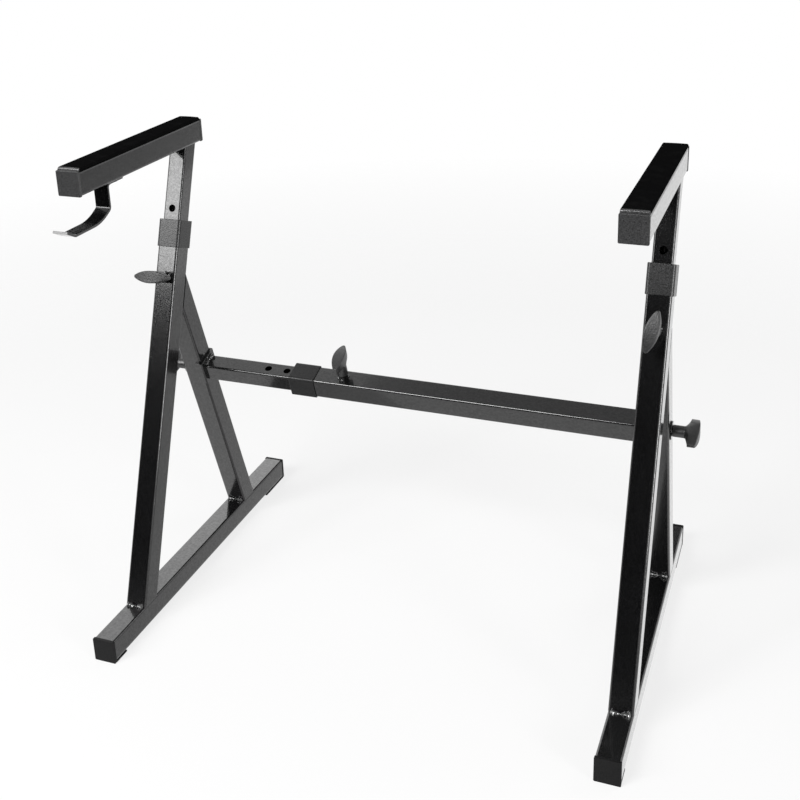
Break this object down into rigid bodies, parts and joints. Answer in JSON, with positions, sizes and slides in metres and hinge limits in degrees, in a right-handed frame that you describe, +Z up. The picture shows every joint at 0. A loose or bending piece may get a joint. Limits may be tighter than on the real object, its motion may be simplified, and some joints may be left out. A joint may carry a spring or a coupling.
{
  "type": "keyboard stand",
  "caption": "Z-shaped keyboard stand of square steel tube: leaning posts, braces, padded arms and a sliding crossbar, set by winged screw knobs, with a headphone hook.",
  "frame": {"origin": "on the floor, in the middle of the whole stand's box", "axes": "+X to the player's right, +Y away from the player, +Z up"},
  "size_m": [0.7496, 0.494, 0.6463],
  "materials": {
    "black_paint": "satin black powder coat with a fine grain",
    "cap_plastic": "matte black moulded plastic with a leather-like grain",
    "knob_plastic": "matte black moulded plastic",
    "pad_rubber": "black foam rubber",
    "zinc_steel": "zinc plated"
  },
  "bodies": {
    "right_frame": {"right_foot_tube": "black_paint", "right_foot_front_cap": "cap_plastic", "right_foot_rear_cap": "cap_plastic", "right_outer_post": "black_paint", "right_post_collar": "cap_plastic", "right_brace": "black_paint", "right_frame_welds": "black_paint", "right_post_weld_nut": "black_paint", "right_saddle": "black_paint", "right_saddle_weld": "black_paint", "right_bar_nut": "zinc_steel", "right_bar_stud": "zinc_steel", "crossbar_outer_tube": "black_paint", "crossbar_collar": "cap_plastic", "crossbar_weld_nut": "black_paint"},
    "right_upper": {"right_inner_post": "black_paint", "right_inner_post_glide": "cap_plastic", "right_arm_welds": "black_paint", "right_arm_tube": "black_paint", "right_arm_front_cap": "cap_plastic", "right_arm_rear_cap": "cap_plastic", "right_arm_pad": "pad_rubber"},
    "right_height_screw": {"right_height_stud": "zinc_steel"},
    "right_height_handle": {"right_height_knob": "knob_plastic"},
    "right_bar_clamp": {"right_bar_washer": "black_paint"},
    "right_bar_handle": {"right_bar_knob": "knob_plastic"},
    "left_frame": {"left_foot_tube": "black_paint", "left_foot_front_cap": "cap_plastic", "left_foot_rear_cap": "cap_plastic", "left_outer_post": "black_paint", "left_post_collar": "cap_plastic", "left_brace": "black_paint", "left_frame_welds": "black_paint", "left_post_weld_nut": "black_paint", "left_saddle": "black_paint", "left_saddle_weld": "black_paint", "left_bar_nut": "zinc_steel", "left_bar_stud": "zinc_steel", "crossbar_inner_tube": "black_paint", "crossbar_glide": "cap_plastic"},
    "left_upper": {"left_inner_post": "black_paint", "left_inner_post_glide": "cap_plastic", "left_arm_welds": "black_paint", "left_arm_tube": "black_paint", "left_arm_front_cap": "cap_plastic", "left_arm_rear_cap": "cap_plastic", "left_arm_pad": "pad_rubber", "headphone_hook": "black_paint", "headphone_hook_screws": "zinc_steel"},
    "left_height_screw": {"left_height_stud": "zinc_steel"},
    "left_height_handle": {"left_height_knob": "knob_plastic"},
    "left_bar_clamp": {"left_bar_washer": "black_paint"},
    "left_bar_handle": {"left_bar_knob": "knob_plastic"},
    "width_screw": {"width_stud": "zinc_steel"},
    "width_handle": {"width_knob": "knob_plastic"}
  },
  "joints": [
    {"name": "width_slide", "type": "slide", "parent": "right_frame", "child": "left_frame", "axis": [1, 0, 0], "range_m": [-0.114, 0.114]},
    {"name": "right_height_slide", "type": "slide", "parent": "right_frame", "child": "right_upper", "axis": [0, 0.342, 0.9397], "range_m": [-0.093, 0.186]},
    {"name": "right_height_screw_travel", "type": "slide", "parent": "right_frame", "child": "right_height_screw", "axis": [0, -0.9397, 0.342], "range_m": [0, 0.00501]},
    {"name": "right_height_knob_turn", "type": "hinge", "parent": "right_height_screw", "child": "right_height_handle", "pos_m": [0.325, -0.0195, 0.44825], "axis": [0, -0.9397, 0.342], "range_deg": [0, 1440]},
    {"name": "right_bar_clamp_travel", "type": "slide", "parent": "right_frame", "child": "right_bar_clamp", "axis": [1, 0, 0], "range_m": [0, 0.00751]},
    {"name": "right_bar_knob_turn", "type": "hinge", "parent": "right_bar_clamp", "child": "right_bar_handle", "pos_m": [0.34, 0.04493, 0.29023], "axis": [1, 0, 0], "range_deg": [0, 2160]},
    {"name": "left_height_slide", "type": "slide", "parent": "left_frame", "child": "left_upper", "axis": [0, 0.342, 0.9397], "range_m": [-0.093, 0.186]},
    {"name": "left_height_screw_travel", "type": "slide", "parent": "left_frame", "child": "left_height_screw", "axis": [0, -0.9397, 0.342], "range_m": [0, 0.00501]},
    {"name": "left_height_knob_turn", "type": "hinge", "parent": "left_height_screw", "child": "left_height_handle", "pos_m": [-0.325, -0.0195, 0.44825], "axis": [0, -0.9397, 0.342], "range_deg": [0, 1440]},
    {"name": "left_bar_clamp_travel", "type": "slide", "parent": "left_frame", "child": "left_bar_clamp", "axis": [-1, 0, 0], "range_m": [0, 0.00751]},
    {"name": "left_bar_knob_turn", "type": "hinge", "parent": "left_bar_clamp", "child": "left_bar_handle", "pos_m": [-0.34, 0.04493, 0.29023], "axis": [-1, 0, 0], "range_deg": [0, 2160]},
    {"name": "width_screw_travel", "type": "slide", "parent": "right_frame", "child": "width_screw", "axis": [0, -0.3088, 0.9511], "range_m": [0, 0.00501]},
    {"name": "width_knob_turn", "type": "hinge", "parent": "width_screw", "child": "width_handle", "pos_m": [-0.098, 0.0403, 0.3045], "axis": [0, -0.3088, 0.9511], "range_deg": [0, 1440]}
  ],
  "couplings": [
    {"joint": "right_height_screw_travel", "follows": "right_height_knob_turn", "m_per_rad": 0.00019894},
    {"joint": "right_bar_clamp_travel", "follows": "right_bar_knob_turn", "m_per_rad": 0.00019894},
    {"joint": "left_height_screw_travel", "follows": "left_height_knob_turn", "m_per_rad": 0.00019894},
    {"joint": "left_bar_clamp_travel", "follows": "left_bar_knob_turn", "m_per_rad": 0.00019894},
    {"joint": "width_screw_travel", "follows": "width_knob_turn", "m_per_rad": 0.00019894}
  ]
}
